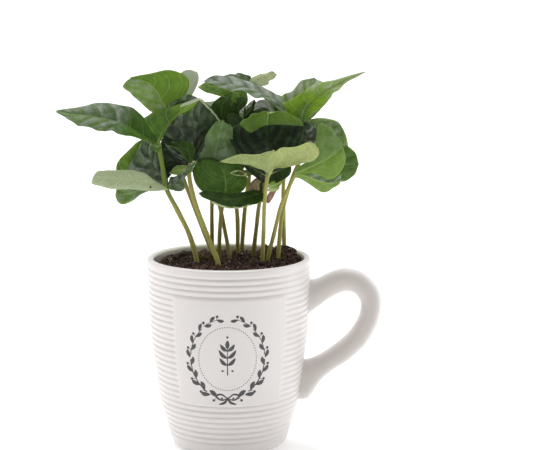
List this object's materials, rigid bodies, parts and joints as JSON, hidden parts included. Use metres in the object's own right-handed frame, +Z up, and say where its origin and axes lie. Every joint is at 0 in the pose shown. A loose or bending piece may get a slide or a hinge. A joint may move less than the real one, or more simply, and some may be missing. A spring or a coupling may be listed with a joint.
{
  "type": "potted coffee plant",
  "caption": "Clump of young glossy-leaved coffee seedlings growing in dark potting mix in a ridged, handled ceramic mug with a smooth front panel.",
  "frame": {"origin": "centre of the mug's flat underside", "axes": "+Z up along the mug's axis, +X towards the handle, -Y towards the smooth panel"},
  "size_m": [0.1787, 0.1036, 0.2069],
  "materials": {
    "mug": "warm off-white gloss glaze",
    "soil": "dark, damp, crumbly potting mix",
    "seedling": "waxy green leaves on smooth green stems",
    "seed_coat_tan": "dry, papery tan",
    "seed_coat_red": "dry, papery reddish brown"
  },
  "bodies": {
    "root": {"mug": "mug", "soil": "soil", "seedling_01": "seedling", "seedling_02": "seedling", "seedling_03": "seedling", "seedling_04": "seedling", "seedling_05": "seedling", "seedling_06": "seedling", "seedling_07": "seedling", "seedling_08": "seedling", "seedling_09": "seedling", "seedling_10": "seedling", "seedling_11": "seedling", "seedling_12": "seedling", "seedling_13": "seedling", "seed_coat_tan": "seed_coat_tan", "seed_coat_red": "seed_coat_red"}
  },
  "joints": []
}
